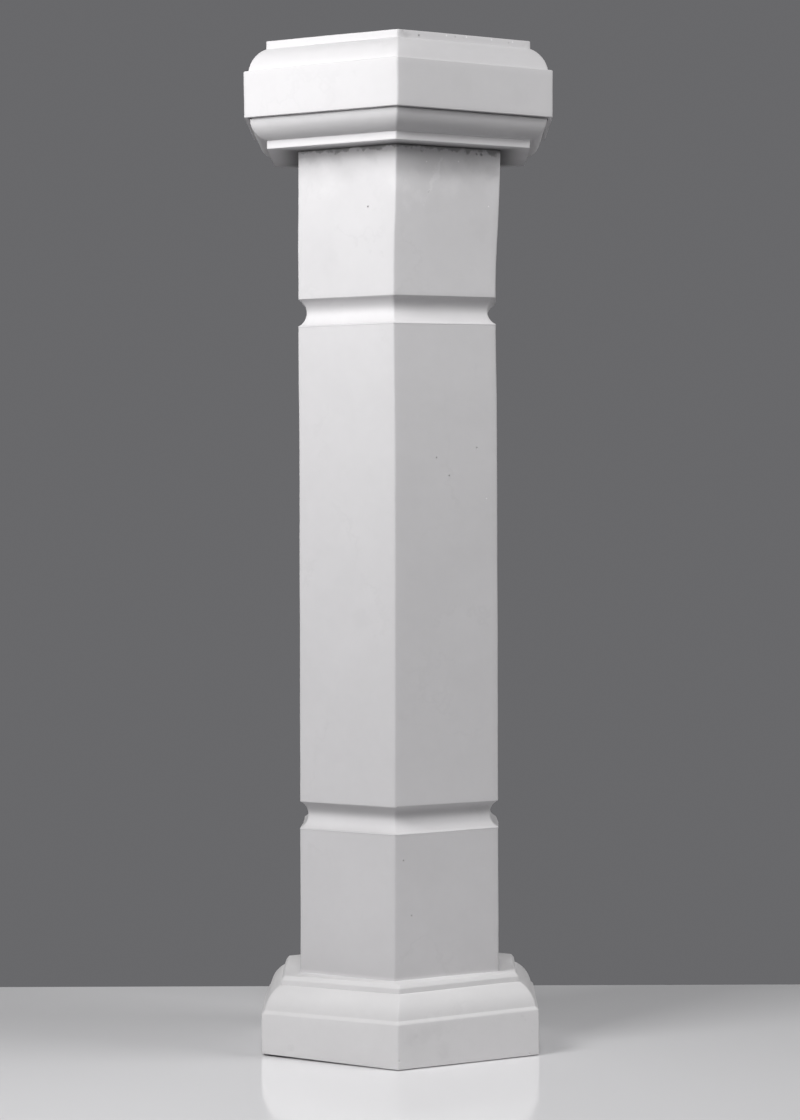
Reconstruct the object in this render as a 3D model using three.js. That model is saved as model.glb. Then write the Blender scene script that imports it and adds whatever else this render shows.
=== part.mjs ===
// A hexagonal pedestal column of white marble, in three blocks that stand on one another:
// a moulded base, a shaft with two grooves carved round it, and a moulded capital.
// Millimetres, +Z up. The origin is the middle of the underside, and one arris faces -Y.
import * as THREE from "three";

// Driving dimensions. A width is across the flats of the hexagon, at the height it is given for.
const TOTAL_HEIGHT = 1000;
const SIDES = 6;
const BED_GAP = 0.3;
const CURVE_STEPS = 10;

// Each block was set down by eye, so each is turned a little about the upright axis, in degrees.
const BASE_TURN = -0.6;
const SHAFT_TURN = -1.8;
const CAPITAL_TURN = -0.4;

// The base was set a little to the left of the axis that shaft and capital share.
const BASE_SHIFT = -0.8;

// Base, from the floor up.
const BASE_HEIGHT = 78;
const BASE_FASCIA_WIDTH = 274.2;
const BASE_FASCIA_HEIGHT = 44;
const BASE_SLOPE_RISE = 3;
const BASE_OVOLO_WIDTH = 268.8;
const BASE_OVOLO_HEIGHT = 22;
const BASE_OVOLO_TOP_WIDTH = 240;
const BASE_OVOLO_BULGE = 3;
const BASE_FILLET_WIDTH = 237.2;
const BASE_CHAMFER_HEIGHT = 4;
const BASE_CHAMFER_DEPTH = 2.8;

// Shaft: its width runs from foot to head through a slight waist at the upper groove.
const SHAFT_FOOT_WIDTH = 197.2;
const SHAFT_WAIST_WIDTH = 196;
const SHAFT_HEAD_WIDTH = 200.2;
const GROOVE_HEIGHT = 27;
const GROOVE_DEPTH = 7.8;
const LOWER_GROOVE_MIDDLE = 236;
const UPPER_GROOVE_MIDDLE = 735;

// Capital, from its underside up.
const CAPITAL_HEIGHT = 105;
const CAPITAL_LOWER_FILLET_WIDTH = 258.8;
const CAPITAL_LOWER_FILLET_HEIGHT = 6.6;
const CAPITAL_LOWER_OVOLO_FOOT_WIDTH = 262;
const CAPITAL_LOWER_OVOLO_WIDTH = 291.6;
const CAPITAL_LOWER_OVOLO_HEIGHT = 22.2;
const CAPITAL_LOWER_OVOLO_BULGE = 4;
const CAPITAL_FASCIA_FOOT_WIDTH = 302.2;
const CAPITAL_FASCIA_WIDTH = 303;
const CAPITAL_FASCIA_HEIGHT = 44.4;
const CAPITAL_LEDGE_RISE = 0.6;
const CAPITAL_OVOLO_WIDTH = 294;
const CAPITAL_OVOLO_HEIGHT = 22.9;
const CAPITAL_OVOLO_TOP_WIDTH = 261.4;
const CAPITAL_OVOLO_BULGE = 3.25;
const CAPITAL_FILLET_WIDTH = 259.6;

// One stop on a block's section: half the width across the flats, and the height.
function stop(width, height) {
  return new THREE.Vector2(width / 2, height);
}

// The stops along a round moulding between two stops, both included.
// The bulge is how far the arc stands off its chord: outwards above zero, hollow below it.
function roundMoulding(from, to, bulge) {
  const along = new THREE.Vector2().subVectors(to, from);
  const chord = along.length();
  along.normalize();
  const outward = new THREE.Vector2(along.y, -along.x);
  const depth = Math.abs(bulge);
  const side = Math.sign(bulge);
  const radius = (chord * chord) / (8 * depth) + depth / 2;
  const halfAngle = Math.asin(chord / 2 / radius);
  const middle = new THREE.Vector2().addVectors(from, to).multiplyScalar(0.5);
  const centre = middle.addScaledVector(outward, side * (depth - radius));
  const stops = [];
  for (let step = 0; step <= CURVE_STEPS; step++) {
    const angle = halfAngle * ((2 * step) / CURVE_STEPS - 1);
    const point = centre.clone();
    point.addScaledVector(outward, side * radius * Math.cos(angle));
    point.addScaledVector(along, radius * Math.sin(angle));
    stops.push(point);
  }
  return stops;
}

// A hexagonal block from its section: six mitred sides, closed at the axis below and above.
function hexagonalBlock(name, stops, turnDegrees, material) {
  const cornerReach = 1 / Math.cos(Math.PI / SIDES);
  const profile = [new THREE.Vector2(0, stops[0].y)];
  for (const point of stops) {
    profile.push(new THREE.Vector2(point.x * cornerReach, point.y));
  }
  profile.push(new THREE.Vector2(0, stops[stops.length - 1].y));
  const geometry = new THREE.LatheGeometry(profile, SIDES);
  geometry.rotateX(Math.PI / 2);
  const block = new THREE.Mesh(geometry, material);
  block.name = name;
  block.rotation.z = THREE.MathUtils.degToRad(turnDegrees);
  return block;
}

// White marble, sawn and rubbed matt. Each block has a material of its own.
function marble() {
  return new THREE.MeshStandardMaterial({ color: 0xdcdbdc, roughness: 0.62, metalness: 0 });
}

// Base: an upright fascia, a sloped shoulder, a convex moulding, and a fillet with a chamfered rim.
function makeBase() {
  const slopeTop = BASE_FASCIA_HEIGHT + BASE_SLOPE_RISE;
  const ovoloTop = slopeTop + BASE_OVOLO_HEIGHT;
  const stops = [
    stop(BASE_FASCIA_WIDTH, 0),
    stop(BASE_FASCIA_WIDTH, BASE_FASCIA_HEIGHT),
    ...roundMoulding(
      stop(BASE_OVOLO_WIDTH, slopeTop),
      stop(BASE_OVOLO_TOP_WIDTH, ovoloTop),
      BASE_OVOLO_BULGE,
    ),
    stop(BASE_FILLET_WIDTH, ovoloTop),
    stop(BASE_FILLET_WIDTH, BASE_HEIGHT - BASE_CHAMFER_HEIGHT),
    stop(BASE_FILLET_WIDTH - 2 * BASE_CHAMFER_DEPTH, BASE_HEIGHT),
  ];
  const block = hexagonalBlock("base", stops, BASE_TURN, marble());
  block.position.x = BASE_SHIFT;
  return block;
}

// The width of the shaft at a height, drawn straight from foot to waist and from waist to head.
function shaftWidthAt(height) {
  const foot = BASE_HEIGHT;
  const head = TOTAL_HEIGHT - CAPITAL_HEIGHT;
  if (height < UPPER_GROOVE_MIDDLE) {
    const rise = (height - foot) / (UPPER_GROOVE_MIDDLE - foot);
    return THREE.MathUtils.lerp(SHAFT_FOOT_WIDTH, SHAFT_WAIST_WIDTH, rise);
  }
  const rise = (height - UPPER_GROOVE_MIDDLE) / (head - UPPER_GROOVE_MIDDLE);
  return THREE.MathUtils.lerp(SHAFT_WAIST_WIDTH, SHAFT_HEAD_WIDTH, rise);
}

// A groove carved round the shaft, hollow and rounder than it is deep.
function groove(middle) {
  const lowerLip = middle - GROOVE_HEIGHT / 2;
  const upperLip = middle + GROOVE_HEIGHT / 2;
  return roundMoulding(
    stop(shaftWidthAt(lowerLip), lowerLip),
    stop(shaftWidthAt(upperLip), upperLip),
    -GROOVE_DEPTH,
  );
}

// Shaft: one long block, parted by eye into three by its two grooves.
function makeShaft() {
  const foot = BASE_HEIGHT + BED_GAP;
  const head = TOTAL_HEIGHT - CAPITAL_HEIGHT - BED_GAP;
  const stops = [
    stop(SHAFT_FOOT_WIDTH, foot),
    ...groove(LOWER_GROOVE_MIDDLE),
    ...groove(UPPER_GROOVE_MIDDLE),
    stop(SHAFT_HEAD_WIDTH, head),
  ];
  return hexagonalBlock("shaft", stops, SHAFT_TURN, marble());
}

// Capital: a fillet, a convex moulding that swells upwards, a fascia, and the same again going in.
function makeCapital() {
  const underside = TOTAL_HEIGHT - CAPITAL_HEIGHT;
  const lowerOvoloFoot = underside + CAPITAL_LOWER_FILLET_HEIGHT;
  const fasciaFoot = lowerOvoloFoot + CAPITAL_LOWER_OVOLO_HEIGHT;
  const fasciaTop = fasciaFoot + CAPITAL_FASCIA_HEIGHT;
  const ledge = fasciaTop + CAPITAL_LEDGE_RISE;
  const ovoloTop = ledge + CAPITAL_OVOLO_HEIGHT;
  const stops = [
    stop(CAPITAL_LOWER_FILLET_WIDTH, underside),
    stop(CAPITAL_LOWER_FILLET_WIDTH, lowerOvoloFoot),
    ...roundMoulding(
      stop(CAPITAL_LOWER_OVOLO_FOOT_WIDTH, lowerOvoloFoot),
      stop(CAPITAL_LOWER_OVOLO_WIDTH, fasciaFoot),
      CAPITAL_LOWER_OVOLO_BULGE,
    ),
    stop(CAPITAL_FASCIA_FOOT_WIDTH, fasciaFoot),
    stop(CAPITAL_FASCIA_WIDTH, fasciaTop),
    ...roundMoulding(
      stop(CAPITAL_OVOLO_WIDTH, ledge),
      stop(CAPITAL_OVOLO_TOP_WIDTH, ovoloTop),
      CAPITAL_OVOLO_BULGE,
    ),
    stop(CAPITAL_FILLET_WIDTH, ovoloTop),
    stop(CAPITAL_FILLET_WIDTH, TOTAL_HEIGHT),
  ];
  return hexagonalBlock("capital", stops, CAPITAL_TURN, marble());
}

const column = new THREE.Group();
column.name = "column";
column.add(makeBase());
column.add(makeShaft());
column.add(makeCapital());

export default column;
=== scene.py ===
# %% [markdown]
# This lesson dresses a hexagonal pedestal column of white marble. The column is three blocks of
# stone that stand on one another: a moulded base, a shaft with two hollow grooves, and a moulded
# capital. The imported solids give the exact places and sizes. Blender adds what a mason's hand and
# some years of use leave behind: softened arrises, faces that are not quite true, traces of filler
# in the joints, small pits and chips, and the matt, faintly clouded look of the stone. The scene is in
# metres, in the frame of the solids, and the sizes of the stone are written in millimetres.

import math
import random

import bmesh
import bpy
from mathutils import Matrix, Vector


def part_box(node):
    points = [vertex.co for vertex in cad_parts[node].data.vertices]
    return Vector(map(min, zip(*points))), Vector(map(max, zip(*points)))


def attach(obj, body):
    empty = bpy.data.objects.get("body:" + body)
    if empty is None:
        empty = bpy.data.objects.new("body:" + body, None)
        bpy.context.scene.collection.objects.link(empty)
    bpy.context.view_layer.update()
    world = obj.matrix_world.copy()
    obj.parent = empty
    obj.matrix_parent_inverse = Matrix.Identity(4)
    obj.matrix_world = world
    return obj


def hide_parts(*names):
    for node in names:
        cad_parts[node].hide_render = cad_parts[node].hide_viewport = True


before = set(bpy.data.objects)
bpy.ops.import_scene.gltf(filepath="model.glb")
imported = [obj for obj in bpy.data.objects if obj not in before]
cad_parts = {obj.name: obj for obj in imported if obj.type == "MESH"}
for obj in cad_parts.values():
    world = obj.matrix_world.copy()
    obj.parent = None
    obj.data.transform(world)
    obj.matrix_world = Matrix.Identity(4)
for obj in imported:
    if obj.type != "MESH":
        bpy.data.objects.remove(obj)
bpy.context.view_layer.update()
scene = bpy.context.scene
scene.view_settings.view_transform = "Standard"
MM = 0.001

# %% [markdown]
# The camera stands nearly three metres off, a little above half the column's height, with a long
# lens, so the uprights stay almost parallel. It looks down by one degree: the top of the base
# shows, and so does the underside of the capital. These values were found by fitting the edges of
# the three blocks to the photograph.

# %% Camera
PHOTO_LONG_SIDE = 1120
FOCAL_LENGTH_IN_PIXELS = 2885
CAMERA_DISTANCE = 2.921
EYE_HEIGHT = 0.543
CAMERA_SHIFT = -0.2 * MM
LOOK_DOWN = math.radians(1.07)
CAMERA_ROLL = math.radians(0.19)

camera_data = bpy.data.cameras.new("camera")
camera_data.lens = camera_data.sensor_width * FOCAL_LENGTH_IN_PIXELS / PHOTO_LONG_SIDE
camera = bpy.data.objects.new("camera", camera_data)
camera.location = (CAMERA_SHIFT, -CAMERA_DISTANCE, EYE_HEIGHT)
camera.rotation_euler = (math.radians(90) - LOOK_DOWN, CAMERA_ROLL, 0)
scene.collection.objects.link(camera)
scene.camera = camera
bpy.context.view_layer.update()
print("lens", round(camera_data.lens, 1), "mm at", CAMERA_DISTANCE, "m")

# %% [markdown]
# A pit or a stain is easiest to give by its pixel in the photograph. The line of sight through that
# pixel is followed until it meets the stone, so the mark lies on the surface and stays there from
# any other side.

# %% From a pixel to the stone
PHOTO_MIDDLE = (400, 560)
HALF_PIXEL = 0.5


def seen_at(block, pixel):
    """The point of a block's surface that the camera sees at a pixel, with its normal."""
    across = (pixel[0] + HALF_PIXEL - PHOTO_MIDDLE[0]) / FOCAL_LENGTH_IN_PIXELS
    down = (pixel[1] + HALF_PIXEL - PHOTO_MIDDLE[1]) / FOCAL_LENGTH_IN_PIXELS
    sight = camera.matrix_world.to_3x3() @ Vector((across, -down, -1))
    hit, place, normal, _ = block.ray_cast(camera.location, sight.normalized())
    if not hit:
        raise RuntimeError(f"no stone of {block.name} at {pixel}")
    return place, normal


pixel_size = CAMERA_DISTANCE / FOCAL_LENGTH_IN_PIXELS / MM
print("one pixel of the photograph is", round(pixel_size, 3), "mm at the axis")

# %% [markdown]
# A round moulding is an arc that stands off the straight line between its two ends. A section is a
# list of stops from the underside of a block to its top: half the width across the flats, the
# height, and how much the edge there is worn round. The same few sizes as in the solids are written
# here once more.

# %% Sections
CURVE_STEPS = 12
WEAR_STEPS = 4
LARGEST_WORN_SHARE = 0.45


def stop(width, height, wear=0.9):
    """A point of a section, in metres, from a width, a height and a rounding in millimetres."""
    return Vector((width / 2 * MM, height * MM, wear * MM))


def round_moulding(start, end, bulge):
    """Points of an arc from start to end, both included; a bulge below zero is a hollow."""
    along = Vector((end.x - start.x, end.y - start.y))
    chord = along.length
    along.normalize()
    outward = Vector((along.y, -along.x))
    depth = abs(bulge) * MM
    side = 1 if bulge > 0 else -1
    radius = chord * chord / (8 * depth) + depth / 2
    half_angle = math.asin(chord / 2 / radius)
    centre = Vector(((start.x + end.x) / 2, (start.y + end.y) / 2)) + outward * side * (depth - radius)
    points = [start]
    for step in range(1, CURVE_STEPS):
        angle = half_angle * (2 * step / CURVE_STEPS - 1)
        point = centre + outward * side * radius * math.cos(angle) + along * radius * math.sin(angle)
        points.append(Vector((point.x, point.y, 0)))
    points.append(end)
    return points


def worn_and_stepped(stops, longest_step):
    """Rounds each worn edge of a section and cuts its long stretches into short steps."""
    eased = [stops[0].xy]
    for before, here, after in zip(stops, stops[1:], stops[2:]):
        if here.z == 0:
            eased.append(here.xy)
            continue
        corner = here.xy
        inward = before.xy - corner
        onward = after.xy - corner
        start = corner + inward.normalized() * min(here.z, inward.length * LARGEST_WORN_SHARE)
        end = corner + onward.normalized() * min(here.z, onward.length * LARGEST_WORN_SHARE)
        for step in range(WEAR_STEPS + 1):
            share = step / WEAR_STEPS
            first = start.lerp(corner, share)
            second = corner.lerp(end, share)
            eased.append(first.lerp(second, share))
    eased.append(stops[-1].xy)
    points = [eased[0]]
    for target in eased[1:]:
        origin = points[-1]
        steps = max(1, math.ceil((target - origin).length / longest_step))
        for step in range(1, steps + 1):
            points.append(origin.lerp(target, step / steps))
    return points


print("a round moulding has", len(round_moulding(stop(260, 0), stop(290, 20), 4)), "points")

# %% [markdown]
# Each block is raised as a potter raises a pot. A hexagon is laid flat, its corners are rounded by
# a vertex bevel and its sides are cut into short lengths. Then the flat face is extruded a step
# upwards and resized to the section's next width, over and over. Every ring keeps the rounded
# corners, so the arrises run through all the mouldings as true mitres, which a bevel afterwards
# would spoil at the lips.

# %% Raising a block
SIDES = 6
CORNER_REACH = 1 / math.cos(math.pi / SIDES)
ARRIS_ROUND = 1.4 * MM
ARRIS_STEPS = 4
SIDE_STEP = 5 * MM
RING_STEP = 5 * MM


def select_nothing():
    """Deselects every object, because an operator acts on all that is selected."""
    bpy.ops.object.select_all(action="DESELECT")


def lay_hexagon(name, half_width, height, turn):
    """Lays a filled hexagon with rounded corners, one arris towards -Y, and stays in edit mode."""
    select_nothing()
    bpy.ops.mesh.primitive_circle_add(
        vertices=SIDES,
        radius=half_width * CORNER_REACH,
        fill_type="NGON",
        location=(0, 0, height),
        rotation=(0, 0, turn),
    )
    block = bpy.context.object
    block.name = name
    bpy.ops.object.mode_set(mode="EDIT")
    bpy.ops.mesh.select_all(action="SELECT")
    bpy.ops.mesh.bevel(offset=ARRIS_ROUND, segments=ARRIS_STEPS, affect="VERTICES")
    bpy.ops.mesh.select_all(action="DESELECT")
    mesh = bmesh.from_edit_mesh(block.data)
    for edge in mesh.edges:
        edge.select_set(edge.calc_length() > SIDE_STEP * 2)
    bmesh.update_edit_mesh(block.data)
    cuts = round(half_width * CORNER_REACH / SIDE_STEP)
    bpy.ops.mesh.subdivide(number_cuts=cuts)
    bpy.ops.mesh.select_all(action="SELECT")
    return block


def raise_block(name, stops, turn, shift=0):
    """Extrudes and resizes a hexagon ring by ring along a section, and leaves the place in the mesh."""
    section = worn_and_stepped(stops, RING_STEP)
    block = lay_hexagon(name, section[0].x, section[0].y, turn)
    for below, here in zip(section, section[1:]):
        rise = here.y - below.y
        scale = here.x / below.x
        bpy.ops.mesh.extrude_region_move(TRANSFORM_OT_translate={"value": (0, 0, rise)})
        bpy.ops.transform.resize(value=(scale, scale, 1), center_override=(0, 0, here.y))
    bpy.ops.mesh.select_all(action="SELECT")
    bpy.ops.mesh.normals_make_consistent(inside=False)
    bpy.ops.object.mode_set(mode="OBJECT")
    block.location.x = shift
    bpy.ops.object.transform_apply(location=True, rotation=True, scale=True)
    print(name, len(section), "rings", len(block.data.polygons), "faces")
    return block


print("a hexagon's corners reach", round(CORNER_REACH, 4), "times half its width across the flats")

# %% [markdown]
# No hand-cut block is true. Its head leans, an arris wanders off its line, a corner is low. A
# lattice is the tool for that: a cage of points is put round the block, a few of its points are
# moved by a millimetre or two, and the whole mesh follows smoothly between them. The cage has a
# point at each corner of the hexagon.

# %% Easing a block out of true
ACROSS = 3
DEEP = 5


def apply_modifier(block, modifier):
    """Bakes a modifier into the mesh of a block."""
    select_nothing()
    block.select_set(True)
    bpy.context.view_layer.objects.active = block
    bpy.ops.object.modifier_apply(modifier=modifier.name)


def ease_by_hand(block, low, high, points, move_at, flow="KEY_CATMULL_ROM"):
    """Puts a cage round a block, moves each of its points by move_at(place) and bakes it in."""
    select_nothing()
    bpy.ops.object.add(type="LATTICE", location=(low + high) / 2)
    cage = bpy.context.object
    cage.data.points_u, cage.data.points_v, cage.data.points_w = points
    cage.data.interpolation_type_u = "KEY_LINEAR"
    cage.data.interpolation_type_v = "KEY_LINEAR"
    cage.data.interpolation_type_w = flow
    reach = cage.data.points[-1].co - cage.data.points[0].co
    size = high - low
    cage.scale = (size.x / reach.x, size.y / reach.y, size.z / reach.z)
    bpy.context.view_layer.update()
    to_cage = cage.matrix_world.inverted()
    for point in cage.data.points:
        place = cage.matrix_world @ point.co
        point.co_deform = to_cage @ (place + move_at(place) * MM)
    modifier = block.modifiers.new("cage", "LATTICE")
    modifier.object = cage
    apply_modifier(block, modifier)
    select_nothing()
    cage.select_set(True)
    bpy.ops.object.delete()


def waver(block, size, depth, kind):
    """Moves the surface in and out by up to half of depth, in soft clouds of the given size."""
    clouds = bpy.data.textures.new(block.name + "_" + kind, "CLOUDS")
    clouds.noise_scale = size
    clouds.noise_basis = kind
    modifier = block.modifiers.new("waver", "DISPLACE")
    modifier.texture = clouds
    modifier.texture_coords = "LOCAL"
    modifier.strength = depth
    apply_modifier(block, modifier)


def smooth_step(start, end, value):
    """Rises softly from 0 at start to 1 at end."""
    share = min(1, max(0, (value - start) / (end - start)))
    return share * share * (3 - 2 * share)


print("a block's cage has", ACROSS, "points across and", DEEP, "from front to back")

# %% [markdown]
# The base: an upright fascia, a sloped shoulder that catches the light, a convex moulding, and a
# fillet with a broad chamfer. A shallow rebate round its foot keeps a thin dark line between stone
# and floor. Its near left corner is lower than the others and doesn't quite touch the floor, and
# its rim is a little higher in front than behind.

# %% Base
base_low, base_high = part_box("base")
BASE_HEIGHT = base_high.z / MM
BASE_FASCIA_WIDTH = 274.2
BASE_FASCIA_HEIGHT = 44
BASE_SLOPE_TOP = BASE_FASCIA_HEIGHT + 3
BASE_OVOLO_WIDTH = 268.8
BASE_OVOLO_TOP = BASE_SLOPE_TOP + 22
BASE_OVOLO_TOP_WIDTH = 240
BASE_OVOLO_BULGE = 3
BASE_FILLET_WIDTH = 237.2
BASE_CHAMFER_HEIGHT = 4
BASE_CHAMFER_DEPTH = 2.8
BASE_TOP_MARGIN = 2
FOOT_REBATE_DEPTH = 2.5
FOOT_REBATE_TOP = 0.7
FASCIA_FOOT_EDGE = 1
BASE_TURN = math.radians(-0.6)
BASE_SHIFT = -0.8 * MM

base_stops = [
    stop(BASE_FASCIA_WIDTH - 2 * FOOT_REBATE_DEPTH, 0),
    stop(BASE_FASCIA_WIDTH - 2 * FOOT_REBATE_DEPTH, FOOT_REBATE_TOP, 0),
    stop(BASE_FASCIA_WIDTH, FASCIA_FOOT_EDGE, 0.3),
    stop(BASE_FASCIA_WIDTH, BASE_FASCIA_HEIGHT, 1.2),
    *round_moulding(
        stop(BASE_OVOLO_WIDTH, BASE_SLOPE_TOP, 0.5),
        stop(BASE_OVOLO_TOP_WIDTH, BASE_OVOLO_TOP, 0.5),
        BASE_OVOLO_BULGE,
    ),
    stop(BASE_FILLET_WIDTH, BASE_OVOLO_TOP, 0.5),
    stop(BASE_FILLET_WIDTH, BASE_HEIGHT - BASE_CHAMFER_HEIGHT, 0.8),
    stop(BASE_FILLET_WIDTH - 2 * BASE_CHAMFER_DEPTH, BASE_HEIGHT, 1),
    stop(BASE_FILLET_WIDTH - 2 * (BASE_CHAMFER_DEPTH + BASE_TOP_MARGIN), BASE_HEIGHT),
]
base_block = raise_block("base_block", base_stops, BASE_TURN, BASE_SHIFT)

LIFT_UNDER_LEFT_CORNER = 1.6
DROP_OF_LEFT_FASCIA = -2.2
RISE_OF_RIGHT_FASCIA = 1.3
DROP_OF_NEAR_LEFT_RIM = -0.8
DROP_OF_FAR_LEFT_RIM = -1.6
RISE_OF_NEAR_RIM = 1.6
RISE_OF_NEAR_RIGHT_RIM = 3.2
RISE_OF_FAR_RIGHT_RIM = 0.2
SHIFT_OF_LEFT_RIM = -1.3
SHIFT_OF_NEAR_LEFT_RIM = 1.7
SHIFT_OF_NEAR_RIM = -0.2
SHIFT_OF_RIGHT_RIM = -2.4
SHIFT_OF_NEAR_RIGHT_RIM = -1.2
SHIFT_OF_NEAR_ARRIS = -1.3


def base_move(place):
    """Shifts the near arris, eases the near left corner up off the floor, and tilts the rim."""
    level = round(2 * place.z / base_high.z)
    is_left = place.x < -MM
    is_right = place.x > MM
    is_near = place.y < -MM
    is_middle = not is_left and not is_right
    if level == 0 and is_near and is_left:
        return Vector((0, 0, LIFT_UNDER_LEFT_CORNER))
    if level == 0:
        return Vector((SHIFT_OF_NEAR_ARRIS * (is_near and is_middle), 0, 0))
    if level == 1 and is_right:
        return Vector((0, 0, RISE_OF_RIGHT_FASCIA))
    if level == 1 and is_left and is_near:
        return Vector((0, 0, DROP_OF_LEFT_FASCIA))
    if level == 1:
        return Vector((SHIFT_OF_NEAR_ARRIS, 0, 0))
    if is_right and is_near:
        return Vector((SHIFT_OF_NEAR_RIGHT_RIM, 0, RISE_OF_NEAR_RIGHT_RIM))
    if is_right:
        return Vector((SHIFT_OF_RIGHT_RIM, 0, RISE_OF_FAR_RIGHT_RIM))
    if is_left and is_near:
        return Vector((SHIFT_OF_NEAR_LEFT_RIM, 0, DROP_OF_NEAR_LEFT_RIM))
    if is_left:
        return Vector((SHIFT_OF_LEFT_RIM, 0, DROP_OF_FAR_LEFT_RIM))
    return Vector((SHIFT_OF_NEAR_RIM, 0, RISE_OF_NEAR_RIM * is_near))


ease_by_hand(base_block, base_low, base_high, (ACROSS, DEEP, 3), base_move)

# %% [markdown]
# The shaft: one long block. Its width eases in to a waist round the upper groove and flares out
# again to the head, as rubbing by hand leaves it. The two grooves are hollow arcs with a crisp
# upper lip and a softer lower one. At the foot the block goes on a little way inside the base, so
# that no gap can show, and a thin bead of filler runs round it. The cage moves a point by soft
# steps up the height: each pair of heights below says where such a step begins and where it ends.

# %% Shaft
shaft_low, shaft_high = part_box("shaft")
SHAFT_FOOT = shaft_low.z / MM
SHAFT_HEAD = shaft_high.z / MM
SHAFT_FOOT_WIDTH = 197.2
SHAFT_WAIST_WIDTH = 195.6
STRAIGHT_WIDTH_AT_GROOVE = 196.2
WAIST_BELOW = 663
WAIST_FULL = 720
WAIST_TOP = 768
FLARE = ((STRAIGHT_WIDTH_AT_GROOVE, 785), (197.8, 815), (198.9, 847), (199.8, 880))
SHAFT_HEAD_WIDTH = 200.2
GROOVE_HEIGHT = 27
GROOVE_DEPTH = 7.8
LOWER_GROOVE_MIDDLE = 236
UPPER_GROOVE_MIDDLE = 735
SHAFT_TURN = math.radians(-1.8)
SOFT_LIP = 1.1
CRISP_LIP = 0.3
SUNK_FOOT = 4
FILLER_RISE = 1
FILLER_STANDS_OUT = 4
FILLER_HOLLOW = -0.3
FOOT_START = 0.6
HEAD_RECESS = 0.9


def shaft_width_at(height):
    """The width across the flats at a height up to the waist: straight, then drawing in."""
    rise = (height - SHAFT_FOOT) / (UPPER_GROOVE_MIDDLE - SHAFT_FOOT)
    straight = SHAFT_FOOT_WIDTH + rise * (STRAIGHT_WIDTH_AT_GROOVE - SHAFT_FOOT_WIDTH)
    drawn_in = SHAFT_WAIST_WIDTH - STRAIGHT_WIDTH_AT_GROOVE
    return straight + drawn_in * smooth_step(WAIST_BELOW, WAIST_FULL, height)


def groove(middle):
    """The stops of one hollow groove, from its lower lip to its upper one."""
    lower_lip = middle - GROOVE_HEIGHT / 2
    upper_lip = middle + GROOVE_HEIGHT / 2
    soft_start = stop(shaft_width_at(lower_lip), lower_lip - SOFT_LIP, 1)
    soft_end = stop(shaft_width_at(lower_lip) - SOFT_LIP, lower_lip + SOFT_LIP / 2, 0)
    crisp_end = stop(shaft_width_at(upper_lip), upper_lip, CRISP_LIP)
    hollow = round_moulding(soft_end, crisp_end, -GROOVE_DEPTH)
    return [*round_moulding(soft_start, soft_end, 0.5)[:-1], *hollow]


shaft_stops = [
    stop(SHAFT_FOOT_WIDTH + 2 * FILLER_STANDS_OUT, SHAFT_FOOT - SUNK_FOOT),
    *round_moulding(
        stop(SHAFT_FOOT_WIDTH + 2 * FILLER_STANDS_OUT, SHAFT_FOOT, 0),
        stop(SHAFT_FOOT_WIDTH, SHAFT_FOOT + FILLER_RISE, 0),
        FILLER_HOLLOW,
    ),
    stop(SHAFT_FOOT_WIDTH, SHAFT_FOOT + FILLER_RISE + FOOT_START, 0),
    *groove(LOWER_GROOVE_MIDDLE),
    stop(shaft_width_at(WAIST_BELOW), WAIST_BELOW, 0),
    *groove(UPPER_GROOVE_MIDDLE),
    stop(SHAFT_WAIST_WIDTH, WAIST_TOP, 0),
    *[stop(width, height, 0) for width, height in FLARE],
    stop(SHAFT_HEAD_WIDTH, SHAFT_HEAD - HEAD_RECESS, 0.5),
    stop(SHAFT_HEAD_WIDTH - 2 * HEAD_RECESS, SHAFT_HEAD),
]
shaft_block = raise_block("shaft_block", shaft_stops, SHAFT_TURN)

HEAD_LEAN = 2.86
HEAD_LEAN_STEP = (760, 890)
WAIST_LEAN = -0.9
WAIST_LEAN_STEP = (600, 735)
FOOT_LEAN = -0.4
ARRIS_WANDER = -1.2
ARRIS_WANDER_AT_FOOT = -1.8
BACK_STANDS_LEFT = -1.2
BACK_STEP = (280, 420)
RISE_OF_RIGHT_LIPS = 1.3
LOWER_LIPS_RISE = (130, 230)
LOWER_LIPS_FALL = (230, 290)
UPPER_LIPS_RISE = (600, 700)
UPPER_LIPS_FALL = (730, 790)
SHAFT_LEVELS = 17


def shaft_move(place):
    """The waist stands a little to the left and the head to the right, and the near arris wanders."""
    height = place.z / MM
    rise = (place.z - shaft_low.z) / (shaft_high.z - shaft_low.z)
    across = FOOT_LEAN * (1 - rise)
    across += WAIST_LEAN * smooth_step(*WAIST_LEAN_STEP, height)
    across += HEAD_LEAN * smooth_step(*HEAD_LEAN_STEP, height)
    if abs(place.x) < MM and place.y < -MM:
        across += ARRIS_WANDER + ARRIS_WANDER_AT_FOOT * (1 - rise) ** 2
    if place.y > MM:
        across += BACK_STANDS_LEFT * (2 - smooth_step(*BACK_STEP, height))
    upward = 0
    if place.x > MM and place.y < -MM:
        lower = smooth_step(*LOWER_LIPS_RISE, height) - smooth_step(*LOWER_LIPS_FALL, height)
        upper = smooth_step(*UPPER_LIPS_RISE, height) - smooth_step(*UPPER_LIPS_FALL, height)
        upward = RISE_OF_RIGHT_LIPS * (lower + upper)
    return Vector((across, 0, upward))


ease_by_hand(shaft_block, shaft_low, shaft_high, (ACROSS, DEEP, SHAFT_LEVELS), shaft_move)

# %% [markdown]
# The bead of filler was pressed in by a finger: it is low at the left, higher at the right, and
# nowhere quite straight. A second, small cage round the foot alone moves the top of the bead up and
# down.

# %% Bead of filler at the foot
BEAD_POINTS = (9, 9, 3)
BEAD_REACH = 4
BEAD_TILT = 0.6
BEAD_DROP = 0.3
BEAD_WAVES = 0.45
BEAD_MARGIN = 2 * MM
BEAD_SEED = 5

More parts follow.
